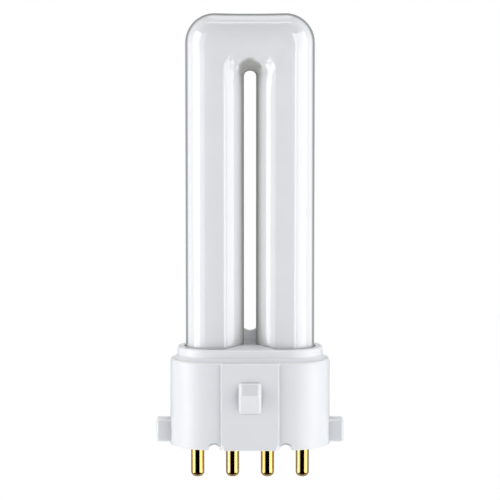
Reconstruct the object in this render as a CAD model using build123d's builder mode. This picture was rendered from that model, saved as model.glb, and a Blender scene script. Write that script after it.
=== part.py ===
"""Compact fluorescent lamp: a squared U of glass tube in a moulded base with four contact pins.

Millimetres. Z points up along the lamp, X runs along the row of pins, and Y is the thin way through.
The origin is in the middle of the base, on the plane of its lower rim, which seats in the lampholder.
"""

import os
from math import cos, radians, sin

from build123d import *

# Discharge tube
lamp_length = 85.5  # lower rim of the base to the top of the glass
leg_spacing = 14.0  # between the axes of the two legs
tube_diameter = 11.6
bridge_draw = 0.3  # how much slimmer than a leg, all round, the bend leaves the cross tube
bend_gap = 0.24  # plain cross tube left between the blends over the slot
glass_wall = 1.0
corner_depth = 2.0  # how far the gas space runs on into the top corners
leg_end_height = 11.2  # where the round leg closes, above the rim
seal_width = 8.2
seal_thickness = 2.6
seal_length = 3.4  # flat press seal below the closed leg
seal_edge = 0.6

# Contact pins and lead wires
pin_pitch = 7.0
pin_diameter = 2.64
pin_length = 6.9  # free length below the rim
pin_tip_radius = 1.0
pin_tip_steps = 2  # the rounding is turned as this many short cones
pin_flange_diameter = 3.8
pin_flange_thickness = 0.6
pin_stub = 0.7  # above the plate
wire_diameter = 0.6
wire_sides = 8
wire_clearance = 0.05
wire_spacing = 3.2  # between the two wires of one seal
wire_depth = 2.6  # how far a wire reaches into its pin
wire_straight = 0.6  # straight run below the seal and above the pin

# Base housing
base_height = 17.2  # rim to shoulder
collar_height = 2.4  # shoulder to the top of the collar
collar_wall = 1.42
shoulder_width = 1.43
side_wall = 2.0
deck_thickness = 2.0
socket_wall = 1.0
socket_overhang = 0.4  # how far the sockets reach below the closed legs
tube_clearance = 0.3  # between a leg and its socket, filled with cement lower down
shoulder_edge = 0.3
collar_edge = 0.25
collar_foot = 0.8  # slope between the collar and the shoulder

# Low pad between the legs on top of the collar, and the web that stands on it
pad_rise = 0.5
pad_margin = 0.2  # from the collar's bevelled edge to the foot of the pad
pad_foot_width = 10.0
pad_slope = 10.0  # degrees
web_height = 3.0  # above the collar
web_thickness = 1.8
web_dip = 0.45  # the top sags between the legs
web_foot_radius = 0.9
web_top_edge = 0.4
web_clearance = 0.02

# Raised panel and snap nose on each broad side
panel_width = 11.5
panel_rise = 0.45
panel_slope = 0.15  # width of the steep slope along each upright edge of the panel
nose_width = 4.4
nose_bottom = 7.4
nose_ridge = 11.0
nose_top = 13.4
nose_rise = 1.8
nose_step = 0.3  # how far the nose's ends stand off the panel
nose_bevel = 0.5

# Side lugs and rim notches
lug_reach = 2.8
lug_depth = 4.4
lug_bottom = 0.45
lug_top = 4.9
lug_corner = 0.6
lug_edge = 0.3
notch_radius = 1.05
notch_bevel = 0.45

# Pin plate and bedding cement
plate_recess = 2.0  # rim to the underside of the plate
plate_thickness = 2.4
plate_wall = 1.6  # housing wall around the plate
plate_clearance = 0.05
cement_depth = 2.0  # from the collar's top down to the cement
cement_height = 5.2

# Worked out from the sizes above
leg_x = leg_spacing / 2
tube_radius = tube_diameter / 2
bridge_radius = tube_radius - bridge_draw
bore_radius = tube_radius + tube_clearance
collar_radius = bore_radius + collar_wall
base_radius = collar_radius + shoulder_width
cavity_radius = base_radius - side_wall
pocket_radius = base_radius - plate_wall
collar_top = base_height + collar_height
pad_top = collar_top + pad_rise
pad_foot_depth = 2 * (collar_radius - collar_edge - pad_margin)
socket_bottom = leg_end_height - socket_overhang
deck_bottom = base_height - deck_thickness
plate_top = plate_recess + plate_thickness
bridge_z = lamp_length - tube_radius
slot_width = leg_spacing - tube_diameter
bend_blend = (slot_width - bend_gap) / 2
seal_bottom = leg_end_height - seal_length
pin_top = plate_top + pin_stub
panel_face = base_radius + panel_rise
leg_places = [(-leg_x, 0), (leg_x, 0)]
notch_places = [(-pin_pitch, 0), (pin_pitch, 0)]
pin_x = [(index - 1.5) * pin_pitch for index in range(4)]

# The two broad sides, each with its normal pointing outwards.
front = Plane.XZ
back = Plane.XZ.rotated((0, 0, 180))

os.makedirs("parts", exist_ok=True)


# Discharge tube: two legs, round top corners and a slimmer cross tube, blended at the joins, all hollow.
with BuildPart() as discharge_tube:
    with BuildSketch(Plane.XY.offset(leg_end_height)):
        with Locations(*leg_places):
            Circle(tube_radius)
    extrude(amount=bridge_z - leg_end_height)
    with Locations((-leg_x, 0, bridge_z), (leg_x, 0, bridge_z)):
        Sphere(tube_radius)
    tube_edges = discharge_tube.edges()
    with Locations((0, 0, bridge_z)):
        Cylinder(bridge_radius, leg_spacing, rotation=(0, 90, 0))
    fillet(discharge_tube.edges() - tube_edges, bend_blend)
    # Gas space: a bore in each leg and one across, within the wall.
    with BuildSketch(Plane.XY.offset(leg_end_height + glass_wall)):
        with Locations(*leg_places):
            Circle(tube_radius - glass_wall)
    extrude(amount=bridge_z + corner_depth - leg_end_height - glass_wall, mode=Mode.SUBTRACT)
    with BuildSketch(Plane.YZ):
        with Locations((0, bridge_z)):
            Circle(bridge_radius - glass_wall)
    extrude(amount=leg_x + corner_depth, both=True, mode=Mode.SUBTRACT)
    # Flat press seals that close the legs and pass the lead wires.
    with BuildSketch(Plane.XY.offset(seal_bottom)):
        with Locations(*leg_places):
            RectangleRounded(seal_width, seal_thickness, seal_edge)
    extrude(amount=seal_length + glass_wall / 2)
discharge_tube.part.label = "discharge_tube"
export_step(discharge_tube.part, "parts/discharge_tube.step")


# Base housing: body with raised panels, collar, web, lugs and noses, hollow and open below.
with BuildPart() as base_housing:
    with BuildSketch():
        SlotCenterToCenter(leg_spacing, 2 * base_radius)
    extrude(amount=base_height)
    with BuildSketch():
        with BuildLine():
            Polyline(
                (panel_width / 2, 0),
                (panel_width / 2, base_radius),
                (panel_width / 2 - panel_slope, panel_face),
                (panel_slope - panel_width / 2, panel_face),
                (-panel_width / 2, base_radius),
                (-panel_width / 2, 0),
                close=True,
            )
        make_face()
        mirror(about=Plane.XZ)
    extrude(amount=base_height)
    chamfer(base_housing.faces().sort_by(Axis.Z)[-1].edges(), shoulder_edge)

    # Collar round the legs, sloped at its foot.
    body_edges = base_housing.edges()
    with BuildSketch(Plane.XY.offset(base_height)):
        SlotCenterToCenter(leg_spacing, 2 * collar_radius)
    extrude(amount=collar_height)
    chamfer((base_housing.edges() - body_edges).group_by(Axis.Z)[0], collar_foot)
    chamfer(base_housing.faces().sort_by(Axis.Z)[-1].edges(), collar_edge)

    # Lugs at the two ends, with rounded outer corners.
    with BuildSketch(Plane.XY.offset(lug_bottom)):
        Rectangle(leg_spacing + 2 * (base_radius + lug_reach), lug_depth)
    extrude(amount=lug_top - lug_bottom)
    lug_corners = base_housing.edges().filter_by(Axis.Z).group_by(Axis.X)
    fillet(lug_corners[0] + lug_corners[-1], lug_corner)
    lug_rims = base_housing.edges().filter_by(Axis.Y).group_by(Axis.X)
    chamfer(lug_rims[0] + lug_rims[-1], lug_edge)

    # Snap noses: one low roof with bevelled flanks that runs through to both broad sides.
    flank = nose_width / 2
    nose_stations = [
        (-flank, nose_bevel),
        (nose_bevel - flank, 0),
        (flank - nose_bevel, 0),
        (flank, nose_bevel),
    ]
    for station, drop in nose_stations:
        end_y = panel_face + nose_step - drop
        ridge_y = panel_face + nose_rise - drop
        with BuildSketch(Plane.YZ.offset(station)):
            with BuildLine():
                Polyline(
                    (-end_y, nose_bottom),
                    (-ridge_y, nose_ridge),
                    (-end_y, nose_top),
                    (end_y, nose_top),
                    (ridge_y, nose_ridge),
                    (end_y, nose_bottom),
                    close=True,
                )
            make_face()
    loft(ruled=True)

    # Pad on the collar between the legs, sloping up to the web from all sides.
    with BuildSketch(Plane.XY.offset(collar_top)):
        Rectangle(pad_foot_width, pad_foot_depth)
    extrude(amount=pad_rise, taper=90 - pad_slope)

    # Web between the legs: coved at its foot, with a top that sags from leg to leg.
    web_y = web_thickness / 2
    foot_y = web_y + web_foot_radius
    cove_top = pad_top + web_foot_radius
    web_top = collar_top + web_height + web_dip
    web_half_width = leg_x - (tube_radius**2 - foot_y**2) ** 0.5
    with BuildSketch(Plane.YZ):
        with BuildLine():
            Polyline(
                (foot_y, pad_top),
                (foot_y, base_height),
                (-foot_y, base_height),
                (-foot_y, pad_top),
            )
            RadiusArc((-foot_y, pad_top), (-web_y, cove_top), -web_foot_radius)
            FilletPolyline(
                (-web_y, cove_top),
                (-web_y, web_top),
                (web_y, web_top),
                (web_y, cove_top),
                radius=web_top_edge,
            )
            RadiusArc((web_y, cove_top), (foot_y, pad_top), -web_foot_radius)
        make_face()
    extrude(amount=web_half_width, both=True)

    # The saddle in the web's top, and the hollows in which the legs stand against the web.
    saddle_radius = ((slot_width / 2) ** 2 + web_dip**2) / (2 * web_dip)
    with BuildSketch(Plane.XZ):
        with Locations((0, collar_top + web_height + saddle_radius)):
            Circle(saddle_radius)
    extrude(amount=web_thickness, both=True, mode=Mode.SUBTRACT)
    with BuildSketch(Plane.XY.offset(collar_top)):
        with Locations(*leg_places):
            Circle(tube_radius + web_clearance)
    extrude(amount=web_height + web_dip, mode=Mode.SUBTRACT)

    # Cavity under the deck, with the leg sockets hanging into it.
    with BuildSketch(Plane.XY.offset(plate_top)):
        SlotCenterToCenter(leg_spacing, 2 * cavity_radius)
    extrude(amount=deck_bottom - plate_top, mode=Mode.SUBTRACT)
    with BuildSketch(Plane.XY.offset(socket_bottom)):
        with Locations(*leg_places):
            Circle(bore_radius + socket_wall)
    extrude(amount=deck_bottom - socket_bottom)
    with BuildSketch(Plane.XY.offset(socket_bottom)):
        with Locations(*leg_places):
            Circle(bore_radius)
    extrude(amount=pad_top - socket_bottom, mode=Mode.SUBTRACT)

    # Pocket for the pin plate, open below.
    with BuildSketch():
        SlotCenterToCenter(leg_spacing, 2 * pocket_radius)
    extrude(amount=plate_top, mode=Mode.SUBTRACT)

    # Half-round notches through the rim on both broad sides, bevelled outside.
    with BuildSketch(front):
        with Locations(*notch_places):
            Circle(notch_radius)
    extrude(amount=panel_face, both=True, mode=Mode.SUBTRACT)
    for side in (front, back):
        with BuildSketch(side.offset(base_radius - notch_bevel)):
            with Locations(*notch_places):
                Circle(notch_radius)
        extrude(amount=notch_bevel + panel_rise, taper=-45, mode=Mode.SUBTRACT)
base_housing.part.label = "base_housing"
export_step(base_housing.part, "parts/base_housing.step")


# Pin plate: closes the base from below and carries the four pins.
with BuildPart() as pin_plate:
    with BuildSketch(Plane.XY.offset(plate_recess)):
        SlotCenterToCenter(leg_spacing, 2 * (pocket_radius - plate_clearance))
        with Locations(*[(x, 0) for x in pin_x]):
            Circle(pin_diameter / 2, mode=Mode.SUBTRACT)
    extrude(amount=plate_thickness)
pin_plate.part.label = "pin_plate"
export_step(pin_plate.part, "parts/pin_plate.step")


# Contact pins: turned, with a rounded tip, a flange under the plate and a wire hole from above.
tip_angles = [90 * step / pin_tip_steps for step in range(pin_tip_steps, -1, -1)]
tip_profile = [
    (
        pin_diameter / 2 - pin_tip_radius * (1 - cos(radians(angle))),
        pin_tip_radius * (1 - sin(radians(angle))) - pin_length,
    )
    for angle in tip_angles
]
for number, x in enumerate(pin_x, start=1):
    with BuildPart() as contact_pin:
        with BuildSketch(Plane.XZ):
            with BuildLine():
                Polyline(
                    (0, -pin_length),
                    *tip_profile,
                    (pin_diameter / 2, plate_recess - pin_flange_thickness),
                    (pin_flange_diameter / 2, plate_recess - pin_flange_thickness),
                    (pin_flange_diameter / 2, plate_recess),
                    (pin_diameter / 2, plate_recess),
                    (pin_diameter / 2, pin_top),
                    (0, pin_top),
                    close=True,
                )
            make_face()
        revolve(axis=Axis.Z)
        with Locations((0, 0, pin_top)):
            Hole(wire_diameter / 2 + wire_clearance, wire_depth)
    contact_pin.part.label = f"contact_pin_{number}"
    contact_pin.part.locate(Location((x, 0, 0)))
    export_step(contact_pin.part, f"parts/contact_pin_{number}.step")


# Lead wires: straight down out of the seal, across to the pin and down into its hole.
for number, x in enumerate(pin_x, start=1):
    leg = leg_x if x > 0 else -leg_x
    start_x = leg + wire_spacing / 2 * (1 if x > leg else -1)
    with BuildPart() as lead_wire:
        with BuildLine(Plane.XZ):
            Polyline(
                (start_x, seal_bottom),
                (start_x, seal_bottom - wire_straight),
                (x, pin_top + wire_straight),
                (x, pin_top - wire_depth),
            )
        with BuildSketch(Plane(origin=(start_x, 0, seal_bottom), z_dir=(0, 0, -1))):
            RegularPolygon(wire_diameter / 2, wire_sides)
        sweep(transition=Transition.RIGHT)
    lead_wire.part.label = f"lead_wire_{number}"
    export_step(lead_wire.part, f"parts/lead_wire_{number}.step")


# Bedding cement: the thin ring between each leg and its socket.
for name, x in (("left", -leg_x), ("right", leg_x)):
    with BuildPart() as tube_cement:
        with BuildSketch(Plane.XY.offset(collar_top - cement_depth)):
            with Locations((x, 0)):
                Circle(bore_radius)
                Circle(tube_radius, mode=Mode.SUBTRACT)
        extrude(amount=-cement_height)
    tube_cement.part.label = f"tube_cement_{name}"
    export_step(tube_cement.part, f"parts/tube_cement_{name}.step")
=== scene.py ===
"""Studio picture of a compact fluorescent lamp, seen from the front and a little from above.

Metres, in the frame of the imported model: Z up along the lamp, X along the row of pins and Y away from
the camera.
"""

from math import cos, pi, radians, sin, tan

import bmesh
import bpy
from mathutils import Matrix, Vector


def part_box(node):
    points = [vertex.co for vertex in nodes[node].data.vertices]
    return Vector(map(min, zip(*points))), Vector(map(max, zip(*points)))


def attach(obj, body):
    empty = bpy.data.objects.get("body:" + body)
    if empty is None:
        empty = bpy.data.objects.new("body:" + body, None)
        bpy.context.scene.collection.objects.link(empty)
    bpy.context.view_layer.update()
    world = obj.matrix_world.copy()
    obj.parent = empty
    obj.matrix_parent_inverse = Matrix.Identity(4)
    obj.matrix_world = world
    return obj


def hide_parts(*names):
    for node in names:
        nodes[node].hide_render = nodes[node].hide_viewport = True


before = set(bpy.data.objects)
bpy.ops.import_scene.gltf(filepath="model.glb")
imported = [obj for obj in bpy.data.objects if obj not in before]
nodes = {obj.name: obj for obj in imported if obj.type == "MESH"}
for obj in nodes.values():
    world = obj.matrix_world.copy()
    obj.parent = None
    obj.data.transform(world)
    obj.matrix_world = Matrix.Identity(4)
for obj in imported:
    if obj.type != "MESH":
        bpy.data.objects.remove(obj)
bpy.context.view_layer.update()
scene = bpy.context.scene
scene.view_settings.view_transform = "Standard"
MM = 0.001
WHITE = (1, 1, 1, 1)

# Edges of the tube and the pins that turn by more than this stay sharp
SHARP_ANGLE = radians(40)

# Shape of the glass tube
SLOT_TOP = 74.2 * MM  # underside of the cross tube, between the legs
SLOT_ROUNDING = 0.9  # radius of the slot's upper corners, as a share of half its width
BRIDGE_SAG = 0.1 * MM  # how far the middle of the top lies below its two ends
BRIDGE_DEPTH = 5.45 * MM  # half the cross tube's depth in Y
BRIDGE_SLIMMING = 0.5  # share of the slimming from leg to cross tube that lies in the cross tube
BEND_START = 62.0 * MM  # where the rings start to lean into the bend
BEND_EASE = 1.5  # above 1, the rings lean slowly at first
SEAL_HALF_WIDTH = 4.1 * MM
SEAL_HALF_DEPTH = 1.3 * MM
SEAL_LENGTH = 3.4 * MM
PINCH = 0.8 * MM  # how far the leg tapers into its seal
RING_POINTS = 96
BEND_STEPS = 20

# Look of the glass tube
PHOSPHOR_WHITES = ((0.778, 0.786, 0.813), (0.796, 0.803, 0.827))
# Painted shade: a grey line painted along the glass edges, where the glass turns away from the eye
GLASS_EDGE_PAINTED_SHADE = (0.33, 0.34, 0.35, 1)
GLASS_TILT = 0.3  # keeps the legs' dark glass edges narrow when they are seen from above
# Painted shade: the phosphor is greyed where other surfaces are near, as in the slot between the legs
SLOT_SHADE = (0.5, 0.5, 0.48, 1)
SLOT_SHADE_REACH = 6 * MM  # how near another surface has to be to shade the phosphor
# Painted shade: the grey arch over the slot, inside the bend
BEND_SHADE = (0.38, 0.38, 0.365, 1)
BEND_SHADE_FOOT = SLOT_TOP + 0.1 * MM  # where the grey arch over the slot starts to turn
BEND_SHADE_RADIUS = 2.3 * MM
ARCH_FLOOR = (-100, 0, 0)  # in radii: X stays free, and below the foot only X counts
BEND_SHADE_START = -1.6  # height over the arch's foot where the shade sets in, in radii
BEND_SHADE_FULL = 0.25  # height where it is complete
BEND_SHADE_SPAN = 4.0  # distance over which it fades out, in radii
RIPPLE = 0.45  # how uneven its edge is, in radii
RIPPLE_MEAN = 0.22  # taken off again, so that the shade keeps its place

# Shape and look of the base
COLLAR_FOOT = 17.4 * MM
COLLAR_FADE = 0.8 * MM  # height over which the collar turns paler
NOTCH_PLACE = 7.0 * MM  # from the middle of the base to each notch in its lower rim
NOTCH_RADIUS = 1.5 * MM  # with the bevel round it
HOUSING_WHITES = ((0.75, 0.77, 0.805), (0.775, 0.795, 0.825))
HOUSING_ROUGHNESS = 0.36
HOUSING_EDGE = 0.3 * MM  # radius of its softened edges
PLATE_WHITES = ((0.66, 0.68, 0.71), (0.70, 0.72, 0.75))
PLATE_ROUGHNESS = 0.5
PLATE_EDGE = 0.15 * MM
ROUGHNESS_SPREAD = 0.05
# Painted shade: corners are darkened towards this colour where another face is near
CORNER_SHADE = (0.45, 0.475, 0.51, 1)
CORNER_REACH = 3 * MM  # how near another face has to be to darken a corner
# Painted highlight: the moulding's edges are paled towards this colour
PAINTED_EDGE_HIGHLIGHT = (0.97, 0.975, 0.98, 1)
# Painted light: the collar's face is painted paler above its foot
PAINTED_COLLAR_LIGHT = (0.88, 0.90, 0.93, 1)
# Painted shade in the upper part of each notch's bevel
NOTCH_SHADE = (0.44, 0.45, 0.47, 1)

# Contact pins
PIN_COUNT = 4
PIN_RADIUS = 1.32 * MM
PIN_TIP_RADIUS = 1.0 * MM
FLANGE_THICKNESS = 0.6 * MM
FLANGE_EDGE = 0.1 * MM
PIN_POINTS = 64
TIP_STEPS = 10
GOLDS = ((0.75, 0.50, 0.17), (0.79, 0.54, 0.20))
GOLD_ROUGHNESS = (0.07, 0.05)

# Lead wires and bedding cement
WIRE_GREYS = ((0.55, 0.54, 0.51), (0.66, 0.65, 0.62))
WIRE_ROUGHNESS = (0.45, 0.3)
WIRE_STRETCH = (1, 1, 0.05)  # draws the grain out into lines along the wire
CEMENT_TONES = ((0.62, 0.57, 0.48), (0.80, 0.77, 0.70))

# Camera and floor
TARGET = Vector((0, 0, 0.0387))
CAMERA_PLACE = Vector((0, -0.38, 0.072))
CAMERA_LENS = 138.0
SENSOR_WIDTH = 36
CLIP_START = 0.01
FLOOR_HEIGHT = -0.045
FLOOR_RADIUS = 0.6
FLOOR_POINTS = 96
FLOOR_PAPER = (0.85, 0.85, 0.85, 1)
FLOOR_SHADOWED = (0.3, 0.3, 0.3, 1)  # the share of the floor's white that a shadow can take away
FLOOR_GLOW_MIDDLE = 0.788
FLOOR_GLOW_RIM = 0.855

# Studio lamps
LAMP_DISTANCE = 0.6
SIDE_LAMP_ELEVATION = 7
SIDE_LAMP_HEIGHT = 0.77

# Lamps at the sides: name, inner and outer edge in degrees round from the camera, radiance
SIDE_LAMPS = (
    ("softbox_left", -60, -90, 3.1),
    ("scrim_left", -40, -60, 1.2),
    ("softbox_right", 48, 90, 2.25),
    ("strip_right", 36, 45.5, 2.5),
)

# Lamps overhead: name, degrees back from straight above, width, depth, radiance
TOP_LAMPS = (
    ("strip_top", -6, 0.5, 0.06, 2.0),
    ("softbox_back", 27, 0.3, 0.36, 0.8),
)


def feed(tree, socket, value):
    """Link a socket to another node's output, or set it to a plain value."""
    if isinstance(value, bpy.types.NodeSocket):
        tree.links.new(value, socket)
    else:
        socket.default_value = value


def add_node(tree, kind, settings=None, **inputs):
    """Add a node; an input is a plain value or another node's output."""
    made = tree.nodes.new(kind)
    for key, value in (settings or {}).items():
        setattr(made, key, value)
    for key, value in inputs.items():
        feed(tree, made.inputs[key.replace("_", " ")], value)
    return made


def add_math(tree, operation, *operands):
    """Reckon with numbers, each a plain value or another node's output."""
    made = add_node(tree, "ShaderNodeMath", {"operation": operation})
    for socket, operand in zip(made.inputs, operands):
        feed(tree, socket, operand)
    return made.outputs["Value"]


def vector_math(tree, operation, *operands):
    """Reckon with vectors, each a plain value or another node's output; a length is a number."""
    made = add_node(tree, "ShaderNodeVectorMath", {"operation": operation})
    for socket, operand in zip(made.inputs, operands):
        feed(tree, socket, operand)
    return made.outputs["Value" if operation == "LENGTH" else "Vector"]


def height_of(tree, vector):
    """The Z part of a vector."""
    return add_node(tree, "ShaderNodeSeparateXYZ", Vector=vector).outputs["Z"]


def map_range(tree, value, low, high):
    """Spread the values between two limits over 0 to 1."""
    return add_node(tree, "ShaderNodeMapRange", Value=value, From_Min=low, From_Max=high).outputs["Result"]


def add_ramp(tree, factor, stops):
    """Add a colour ramp with (place, colour) stops, a plain number being a grey."""
    ramp = add_node(tree, "ShaderNodeValToRGB", Fac=factor)
    elements = ramp.color_ramp.elements
    while len(elements) < len(stops):
        elements.new(0.5)
    for element, (place, colour) in zip(elements, stops):
        element.position = place
        element.color = (*colour, 1) if isinstance(colour, tuple) else (colour, colour, colour, 1)
    return ramp.outputs["Color"]


def add_noise(tree, place, scale, detail):
    """Add a noise pattern and return its strength from place to place."""
    return add_node(tree, "ShaderNodeTexNoise", Vector=place, Scale=scale, Detail=detail).outputs["Fac"]


def add_tones(tree, noise, low, high):
    """Turn a noise into tones between two colours or two values."""
    return add_ramp(tree, noise, [(0.3, low), (0.7, high)])


def add_openness(tree, distance, samples, **settings):
    """How open the space outside or inside a surface is within a distance: 1 where it is clear."""
    settings["samples"] = samples
    return add_node(tree, "ShaderNodeAmbientOcclusion", settings, Distance=distance).outputs["AO"]


def add_bump(tree, height, strength, distance, invert=False, **inputs):
    """Add a relief and return its normals; a Normal among the inputs is what it starts from."""
    inputs.update(Height=height, Strength=strength, Distance=distance)
    return add_node(tree, "ShaderNodeBump", {"invert": invert}, **inputs).outputs["Normal"]


def mix_colours(tree, factor, first, second, kind="MIX"):
    """Blend from the first colour to the second."""
    blend = add_node(tree, "ShaderNodeMix", {"data_type": "RGBA", "blend_type": kind}, Factor=factor)
    first_socket, second_socket = blend.inputs[6:8]
    feed(tree, first_socket, first)
    feed(tree, second_socket, second)
    return blend.outputs[2]


def join_colours(tree, kind, first, second):
    """Join two colours by a blend such as ADD or MULTIPLY."""
    return mix_colours(tree, 1.0, first, second, kind)


def new_material(name, **values):
    """A material with constants set on its shader, and with it its tree, shader and coordinates."""
    material = bpy.data.materials.new(name)
    material.use_nodes = True
    tree = material.node_tree
    shader = tree.nodes["Principled BSDF"]
    for key, value in values.items():
        shader.inputs[key.replace("_", " ")].default_value = value
    place = add_node(tree, "ShaderNodeTexCoord").outputs["Object"]
    return material, tree, shader, place


def glass_facing(tree):
    """How far the glass turns from the eye, with the upright legs' normals tipped up a little."""
    normal = add_node(tree, "ShaderNodeNewGeometry").outputs["Normal"]
    tip = add_ramp(tree, height_of(tree, normal), [(0.0, GLASS_TILT), (1.0, 0.0)])
    tipped = vector_math(tree, "MULTIPLY_ADD", tip, (0, 0, 1), normal)
    unit = vector_math(tree, "NORMALIZE", tipped)
    return add_node(tree, "ShaderNodeLayerWeight", Blend=0.5, Normal=unit).outputs["Facing"]


def bend_masks(tree, place):
    """The distance from the arch over the slot, from 0 to 1, and a mask of the slot's upper end."""
    scale = (1 / BEND_SHADE_RADIUS, 0, 1 / BEND_SHADE_RADIUS)
    foot = (0, 0, -BEND_SHADE_FOOT / BEND_SHADE_RADIUS)
    from_foot = vector_math(tree, "MULTIPLY_ADD", place, scale, foot)
    arch = vector_math(tree, "MAXIMUM", from_foot, ARCH_FLOOR)
    reach = vector_math(tree, "LENGTH", arch)
    ripple = add_noise(tree, place, scale=700, detail=2)
    uneven = add_math(tree, "MULTIPLY_ADD", ripple, RIPPLE, reach)
    distance = map_range(tree, uneven, RIPPLE_MEAN, RIPPLE_MEAN + BEND_SHADE_SPAN)
    height = map_range(tree, height_of(tree, from_foot), BEND_SHADE_START, BEND_SHADE_FULL)
    over_slot = add_ramp(tree, height, [(0.0, 0.0), (0.5, 0.22), (1.0, 1.0)])
    return distance, over_slot


def glass_relief(tree, place, distance, over_slot):
    """The clear surface of the glass: slow waves all over, and wrinkles round the bend."""
    swell = add_noise(tree, place, scale=90, detail=1)
    waves = add_bump(tree, swell, strength=0.05, distance=0.2 * MM)
    near_arch = add_ramp(tree, distance, [(0.3, 1.0), (0.55, 0.0)])
    wrinkled = join_colours(tree, "MULTIPLY", near_arch, over_slot)
    folds = add_noise(tree, place, scale=420, detail=1)
    wrinkles = join_colours(tree, "MULTIPLY", wrinkled, folds)
    return add_bump(tree, wrinkles, strength=1.0, distance=0.8 * MM, invert=True, Normal=waves)


def glass_material():
    """White phosphor under clear glass, with painted shade: grey at the glass edges, in the slot and
    inside the bend.
    """
    material, tree, shader, place = new_material(
        "phosphor_glass",
        Roughness=0.75,
        Coat_Roughness=0.02,
        Coat_IOR=1.8,
        Specular_IOR_Level=0.0,
    )
    facing = glass_facing(tree)
    gloss = add_ramp(tree, facing, [(0.62, 1.0), (0.79, 0.1)])
    tree.links.new(gloss, shader.inputs["Coat Weight"])

    mottle = add_noise(tree, place, scale=160, detail=3)
    white = add_tones(tree, mottle, *PHOSPHOR_WHITES)
    edge = add_ramp(tree, facing, [(0.52, 0.0), (0.58, 0.22), (0.66, 1.0)])
    rimmed = mix_colours(tree, edge, white, GLASS_EDGE_PAINTED_SHADE)
    # painted shade where other surfaces are near, as in the slot between the legs
    openness = add_openness(tree, SLOT_SHADE_REACH, samples=8)
    painted_slot_shade = add_ramp(tree, openness, [(0.35, 0.9), (0.8, 0.0)])
    shaded = mix_colours(tree, painted_slot_shade, rimmed, SLOT_SHADE)
    # painted shade: a grey arch painted over the slot's upper end, inside the bend
    distance, over_slot = bend_masks(tree, place)
    painted_shading = add_ramp(tree, distance, [(0.22, 1.0), (0.275, 0.16), (0.9, 0.0)])
    painted_shading = join_colours(tree, "MULTIPLY", painted_shading, over_slot)
    colour = mix_colours(tree, painted_shading, shaded, BEND_SHADE)
    tree.links.new(colour, shader.inputs["Base Color"])

    relief = glass_relief(tree, place, distance, over_slot)
    tree.links.new(relief, shader.inputs["Coat Normal"])
    return material


def paint_collar_light(tree, place, colour):
    """Paint light onto the collar round the legs, which turns paler above its foot."""
    height = map_range(tree, height_of(tree, place), COLLAR_FOOT, COLLAR_FOOT + COLLAR_FADE)
    painted_shading = add_ramp(tree, height, [(0.0, 0.0), (1.0, 0.5)])
    return mix_colours(tree, painted_shading, colour, PAINTED_COLLAR_LIGHT)


def shade_notches(tree, place, colour):
    """Paint shade on the upper part of the bevel round each notch in the lower rim."""
    scale = (1 / NOTCH_RADIUS, 0, 1 / NOTCH_RADIUS)
    middle = (-NOTCH_PLACE / NOTCH_RADIUS, 0, 0)
    mirrored = vector_math(tree, "ABSOLUTE", place)
    from_notch = vector_math(tree, "MULTIPLY_ADD", mirrored, scale, middle)
    inside = add_ramp(tree, vector_math(tree, "LENGTH", from_notch), [(0.96, 1.0), (1.0, 0.0)])
    crown = add_ramp(tree, height_of(tree, from_notch), [(0.35, 0.0), (0.7, 1.0)])
    return mix_colours(tree, join_colours(tree, "MULTIPLY", inside, crown), colour, NOTCH_SHADE)


def paint_housing_light_and_shade(tree, place, colour):
    """Painted light on the housing's collar and painted shade at its notches."""
    return shade_notches(tree, place, paint_collar_light(tree, place, colour))


def paint_edge_highlights(tree, edge_radius):
    """A mask of painted highlights on the moulding's edges, strongest on those that face upwards at a
    slant.
    """
    core = add_openness(tree, edge_radius, samples=32, inside=True)
    edges = add_ramp(tree, core, [(0.5, 0.6), (0.9, 0.0)])
    normal = add_node(tree, "ShaderNodeNewGeometry").outputs["True Normal"]
    slanted = add_ramp(tree, height_of(tree, normal), [(0.3, 0.0), (0.5, 1.0), (0.8, 1.0), (0.9, 0.3)])
    upper_edge_highlights = add_ramp(tree, core, [(0.96, 1.0), (0.998, 0.0)])
    upper_edge_highlights = join_colours(tree, "MULTIPLY", upper_edge_highlights, slanted)
    return join_colours(tree, "LIGHTEN", edges, upper_edge_highlights)


def plastic_material(name, tones, roughness, edge_radius, painted_light_and_shade=None):
    """Moulded plastic: faint clouding, fine grain, painted shade in its corners, and softened edges with
    painted highlights.
    """
    material, tree, shader, place = new_material(name, IOR=1.65)
    cloud = add_noise(tree, place, scale=140, detail=4)
    # painted shade in the corners
    openness = add_openness(tree, CORNER_REACH, samples=8, only_local=True)
    corners = add_ramp(tree, openness, [(0.45, 1.0), (0.82, 0.0)])
    colour = mix_colours(tree, corners, add_tones(tree, cloud, *tones), CORNER_SHADE)
    # painted highlights along the edges
    colour = mix_colours(tree, paint_edge_highlights(tree, edge_radius), colour, PAINTED_EDGE_HIGHLIGHT)
    # painted light and shade of a single part, such as the housing's collar and notches
    if painted_light_and_shade:
        colour = painted_light_and_shade(tree, place, colour)
    tree.links.new(colour, shader.inputs["Base Color"])
    gloss = add_tones(tree, cloud, roughness + ROUGHNESS_SPREAD, roughness - ROUGHNESS_SPREAD)
    tree.links.new(gloss, shader.inputs["Roughness"])
    rounding = add_node(tree, "ShaderNodeBevel", {"samples": 8}, Radius=edge_radius).outputs["Normal"]
    grain = add_noise(tree, place, scale=5000, detail=2)
    relief = add_bump(tree, grain, strength=0.12, distance=0.03 * MM, Normal=rounding)
    tree.links.new(relief, shader.inputs["Normal"])
    return material


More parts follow.
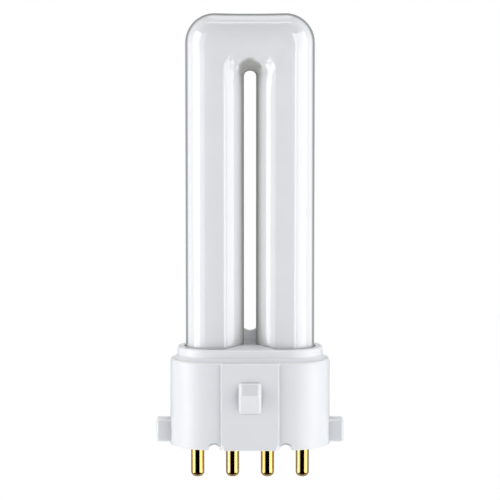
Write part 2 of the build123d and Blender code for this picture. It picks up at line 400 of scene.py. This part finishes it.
def gold_material():
    """Polished gold-coloured metal, faintly stained, with the fine rings that turning leaves."""
    material, tree, shader, place = new_material("gold_contact", Metallic=1.0)
    stain = add_noise(tree, place, scale=700, detail=3)
    tree.links.new(add_tones(tree, stain, *GOLDS), shader.inputs["Base Color"])
    tree.links.new(add_tones(tree, stain, *GOLD_ROUGHNESS), shader.inputs["Roughness"])
    one_way = {"noise_dimensions": "1D"}
    height = height_of(tree, place)
    rings = add_node(tree, "ShaderNodeTexNoise", one_way, W=height, Scale=9000, Detail=2)
    turned = add_bump(tree, rings.outputs["Fac"], strength=0.01, distance=0.003 * MM)
    tree.links.new(turned, shader.inputs["Normal"])
    return material


def wire_material():
    """Drawn lead wire: grey metal with fine lines along it."""
    material, tree, shader, place = new_material("lead_metal", Metallic=1.0)
    stretched = add_node(tree, "ShaderNodeMapping", Vector=place, Scale=WIRE_STRETCH).outputs["Vector"]
    lines = add_noise(tree, stretched, scale=9000, detail=2)
    tree.links.new(add_tones(tree, lines, *WIRE_GREYS), shader.inputs["Base Color"])
    tree.links.new(add_tones(tree, lines, *WIRE_ROUGHNESS), shader.inputs["Roughness"])
    return material


def cement_material():
    """Bedding cement: rough, pale and gritty."""
    material, tree, shader, place = new_material("bedding_cement", Roughness=0.9)
    grit = add_noise(tree, place, scale=2500, detail=6)
    tree.links.new(add_tones(tree, grit, *CEMENT_TONES), shader.inputs["Base Color"])
    relief = add_bump(tree, grit, strength=0.5, distance=0.1 * MM)
    tree.links.new(relief, shader.inputs["Normal"])
    return material


def ring_mesh(name, rings, material, node):
    """Join rings of points into one smooth closed skin that stands for a node of the frame."""
    skin = bmesh.new()
    loops = [[skin.verts.new(point) for point in ring] for ring in rings]
    for one, two in zip(loops, loops[1:]):
        for index in range(len(one)):
            follow = (index + 1) % len(one)
            skin.faces.new((one[index], one[follow], two[follow], two[index]))
    skin.faces.new(loops[0])
    skin.faces.new(loops[-1])
    bmesh.ops.recalc_face_normals(skin, faces=skin.faces)
    mesh = bpy.data.meshes.new(name)
    skin.to_mesh(mesh)
    skin.free()
    mesh.shade_smooth()
    mesh.set_sharp_from_angle(angle=SHARP_ANGLE)
    mesh.materials.append(material)
    piece = bpy.data.objects.new(name, mesh)
    scene.collection.objects.link(piece)
    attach(piece, "root")
    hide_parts(node)


def tube_sections():
    """Sections of the right half of the tube, from its seal to the middle of the cross tube.

    Each is (inner point, outer point, half depth): the ends of an ellipse's long axis in the XZ plane
    and its half axis in Y. The inner points follow the slot, the outer ones the outline of the tube.
    """
    low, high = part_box("discharge_tube")
    radius = high.y
    axis_x = high.x - radius
    corner_z = high.z - radius
    leg_end = low.z + SEAL_LENGTH
    arch_radius = SLOT_ROUNDING * (axis_x - radius)
    arch_x = axis_x - radius - arch_radius
    arch_z = SLOT_TOP - arch_radius

    sections = []
    for z, width, depth in (
        (low.z, SEAL_HALF_WIDTH, SEAL_HALF_DEPTH),
        (leg_end - PINCH, SEAL_HALF_WIDTH, SEAL_HALF_DEPTH),
        (leg_end, radius - PINCH, radius - PINCH),
        (leg_end + PINCH, radius, radius),
    ):
        sections.append(((axis_x - width, z), (axis_x + width, z), depth))
    for step in range(BEND_STEPS + 1):
        lean = (step / BEND_STEPS) ** BEND_EASE
        inner_z = BEND_START + lean * (arch_z - BEND_START)
        outer_z = BEND_START + lean * (corner_z - BEND_START)
        sections.append(((axis_x - radius, inner_z), (axis_x + radius, outer_z), radius))
    for step in range(1, BEND_STEPS + 1):
        turn = step / BEND_STEPS
        angle = turn * pi / 2
        inner = (arch_x + arch_radius * cos(angle), arch_z + arch_radius * sin(angle))
        outer = (axis_x + radius * cos(angle), corner_z + radius * sin(angle))
        slimming = (1 - BRIDGE_SLIMMING) * turn**2
        sections.append((inner, outer, radius + slimming * (BRIDGE_DEPTH - radius)))
    for step in range(1, BEND_STEPS + 1):
        rest = 1 - step / BEND_STEPS
        sag = BRIDGE_SAG * (1 - rest**2)
        slimming = 1 - BRIDGE_SLIMMING * rest**2
        depth = radius + slimming * (BRIDGE_DEPTH - radius)
        sections.append(((arch_x * rest, SLOT_TOP), (axis_x * rest, high.z - sag), depth))
    return sections


def section_ring(section, side):
    """The points of one elliptical section, on the right (side 1) or mirrored to the left (side -1)."""
    (inner_x, inner_z), (outer_x, outer_z), depth = section
    ring = []
    for index in range(RING_POINTS):
        angle = 2 * pi * index / RING_POINTS
        share = (1 + cos(angle)) / 2
        x = inner_x + share * (outer_x - inner_x)
        z = inner_z + share * (outer_z - inner_z)
        ring.append((side * x, depth * sin(angle), z))
    return ring


def build_tube(material):
    """The bent glass tube, one skin from seal to seal."""
    sections = tube_sections()
    rings = [section_ring(section, 1) for section in sections]
    rings += [section_ring(section, -1) for section in reversed(sections[:-1])]
    ring_mesh("glass_tube", rings, material, "discharge_tube")


def build_pin(number, material):
    """One contact pin, turned: rounded tip, plain shank, flange under the plate and a stub above it."""
    node = f"contact_pin_{number}"
    low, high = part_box(node)
    axis = (low + high) / 2
    flange_radius = (high.x - low.x) / 2
    flange_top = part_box("pin_plate")[0].z
    flange_bottom = flange_top - FLANGE_THICKNESS
    profile = []
    for step in range(TIP_STEPS + 1):
        angle = pi / 2 * step / TIP_STEPS
        inset = PIN_TIP_RADIUS * (1 - sin(angle))
        rise = PIN_TIP_RADIUS * (1 - cos(angle))
        profile.append((PIN_RADIUS - inset, low.z + rise))
    profile += [
        (PIN_RADIUS, flange_bottom),
        (flange_radius - FLANGE_EDGE, flange_bottom),
        (flange_radius, flange_bottom + FLANGE_EDGE),
        (flange_radius, flange_top),
        (PIN_RADIUS, flange_top),
        (PIN_RADIUS, high.z),
    ]
    turns = [2 * pi * index / PIN_POINTS for index in range(PIN_POINTS)]
    rings = [[(axis.x + r * cos(turn), axis.y + r * sin(turn), z) for turn in turns] for r, z in profile]
    ring_mesh(f"gold_pin_{number}", rings, material, node)


def dress_node(name, material):
    """Give a node of the frame its material."""
    node = nodes[name]
    node.data.materials.clear()
    node.data.materials.append(material)


def side_direction(azimuth):
    """Unit vector from the object to a side lamp: azimuth 0 towards the camera, positive to the right."""
    turn = radians(azimuth)
    tilt = radians(SIDE_LAMP_ELEVATION)
    return Vector((sin(turn) * cos(tilt), -cos(turn) * cos(tilt), sin(tilt)))


def add_softbox(name, direction, width, height, radiance):
    """A rectangular lamp that faces the object, seen in reflections but not by the camera."""
    light = bpy.data.lights.new(name, "AREA")
    light.shape = "RECTANGLE"
    light.size = width
    light.size_y = height
    light.energy = radiance * pi * width * height
    lamp = bpy.data.objects.new(name, light)
    lamp.location = Vector((0, 0, TARGET.z)) + LAMP_DISTANCE * direction
    lamp.rotation_euler = direction.to_track_quat("Z", "Y").to_euler()
    lamp.visible_camera = False
    scene.collection.objects.link(lamp)


def build_lamps():
    """A softbox on each side with a scrim or strip beside it, and a strip and a softbox overhead."""
    for name, inner, outer, radiance in SIDE_LAMPS:
        half_spread = radians(abs(outer - inner) / 2)
        width = 2 * LAMP_DISTANCE * tan(half_spread)
        add_softbox(name, side_direction((inner + outer) / 2), width, SIDE_LAMP_HEIGHT, radiance)
    for name, lean, width, depth, radiance in TOP_LAMPS:
        direction = Vector((0, sin(radians(lean)), cos(radians(lean))))
        add_softbox(name, direction, width, depth, radiance)


def mirrored_room(tree, back, up):
    """The room in reflections: dark in front, pale behind, with dark flags beside the backdrop."""
    walls = add_ramp(tree, back, [(0.15, 0.0), (0.35, 0.2), (0.5, 1.0)])
    flags = add_ramp(tree, back, [(0.83, 1.0), (0.855, 0.02), (0.965, 0.02), (0.975, 1.0)])
    above_flags = add_ramp(tree, up, [(0.64, 0.0), (0.7, 0.75)])
    flags = join_colours(tree, "LIGHTEN", flags, above_flags)
    walls = join_colours(tree, "MULTIPLY", walls, flags)
    table_edge = add_ramp(tree, up, [(0.0, 0.5), (0.405, 0.5), (0.43, 1.0)])
    return join_colours(tree, "MULTIPLY", walls, table_edge)


def lit_room(tree, back, up):
    """The room as soft light on the object: dim walls and a pale table under it."""
    walls = add_ramp(tree, back, [(0.0, 0.3), (0.2, 0.1), (0.5, 0.37), (1.0, 0.5)])
    table = add_ramp(tree, up, [(0.0, 1.35), (0.325, 0.31), (0.6, 0.05), (1.0, 0.0)])
    return join_colours(tree, "ADD", walls, table)


def build_world():
    """A white backdrop, in a room that polished surfaces mirror and that lights the object softly."""
    world = bpy.data.worlds.new("studio")
    scene.world = world
    world.use_nodes = True
    tree = world.node_tree
    tree.nodes.clear()
    direction = add_node(tree, "ShaderNodeTexCoord").outputs["Generated"]
    axes = add_node(tree, "ShaderNodeSeparateXYZ", Vector=direction).outputs
    back = map_range(tree, axes["Y"], -1, 1)
    up = map_range(tree, axes["Z"], -1, 1)
    ray = add_node(tree, "ShaderNodeLightPath").outputs
    mirror_ray = add_math(tree, "MAXIMUM", ray["Is Glossy Ray"], ray["Is Transmission Ray"])
    room = mix_colours(tree, mirror_ray, lit_room(tree, back, up), mirrored_room(tree, back, up))
    seen = mix_colours(tree, ray["Is Camera Ray"], room, WHITE)
    background = add_node(tree, "ShaderNodeBackground", Color=seen)
    output = add_node(tree, "ShaderNodeOutputWorld")
    tree.links.new(background.outputs["Background"], output.inputs["Surface"])


def floor_material():
    """White paper that reads as white to the camera and still takes the object's shadow."""
    material = bpy.data.materials.new("floor_paper")
    material.use_nodes = True
    tree = material.node_tree
    tree.nodes.clear()
    ray = add_node(tree, "ShaderNodeLightPath").outputs["Is Camera Ray"]
    paper = add_node(tree, "ShaderNodeBsdfDiffuse", Color=FLOOR_PAPER)
    shadowed = add_node(tree, "ShaderNodeBsdfDiffuse", Color=FLOOR_SHADOWED)
    place = add_node(tree, "ShaderNodeTexCoord").outputs["Object"]
    level = add_node(
        tree,
        "ShaderNodeMapRange",
        Value=vector_math(tree, "LENGTH", place),
        From_Max=FLOOR_RADIUS,
        To_Min=FLOOR_GLOW_MIDDLE,
        To_Max=FLOOR_GLOW_RIM,
    )
    glow = add_node(tree, "ShaderNodeEmission", Color=WHITE, Strength=level.outputs["Result"])
    sheet = add_node(tree, "ShaderNodeAddShader")
    tree.links.new(shadowed.outputs[0], sheet.inputs[0])
    tree.links.new(glow.outputs[0], sheet.inputs[1])
    choice = add_node(tree, "ShaderNodeMixShader", Fac=ray)
    tree.links.new(paper.outputs[0], choice.inputs[1])
    tree.links.new(sheet.outputs[0], choice.inputs[2])
    output = add_node(tree, "ShaderNodeOutputMaterial")
    tree.links.new(choice.outputs[0], output.inputs["Surface"])
    return material


def build_floor():
    """A round sheet of white paper under the object."""
    sheet = bmesh.new()
    bmesh.ops.create_circle(sheet, cap_ends=True, segments=FLOOR_POINTS, radius=FLOOR_RADIUS)
    mesh = bpy.data.meshes.new("floor")
    sheet.to_mesh(mesh)
    sheet.free()
    mesh.materials.append(floor_material())
    floor = bpy.data.objects.new("floor", mesh)
    floor.location.z = FLOOR_HEIGHT
    floor.visible_diffuse = False
    floor.visible_glossy = False
    floor.visible_shadow = False
    scene.collection.objects.link(floor)


def build_camera():
    """The photograph's view: level with the tube's upper half, looking down about 5 degrees."""
    camera = bpy.data.cameras.new("camera")
    camera.lens = CAMERA_LENS
    camera.sensor_width = SENSOR_WIDTH
    camera.clip_start = CLIP_START
    eye = bpy.data.objects.new("camera", camera)
    eye.location = CAMERA_PLACE
    eye.rotation_euler = (CAMERA_PLACE - TARGET).to_track_quat("Z", "Y").to_euler()
    scene.collection.objects.link(eye)
    scene.camera = eye


housing_plastic = plastic_material(
    "white_plastic", HOUSING_WHITES, HOUSING_ROUGHNESS, HOUSING_EDGE, paint_housing_light_and_shade
)
plate_plastic = plastic_material("plate_plastic", PLATE_WHITES, PLATE_ROUGHNESS, PLATE_EDGE)
cement = cement_material()
wire = wire_material()
gold = gold_material()

build_tube(glass_material())
dress_node("base_housing", housing_plastic)
dress_node("pin_plate", plate_plastic)
for side in ("left", "right"):
    dress_node(f"tube_cement_{side}", cement)
for number in range(1, PIN_COUNT + 1):
    build_pin(number, gold)
    dress_node(f"lead_wire_{number}", wire)

build_floor()
build_lamps()
build_world()
build_camera()
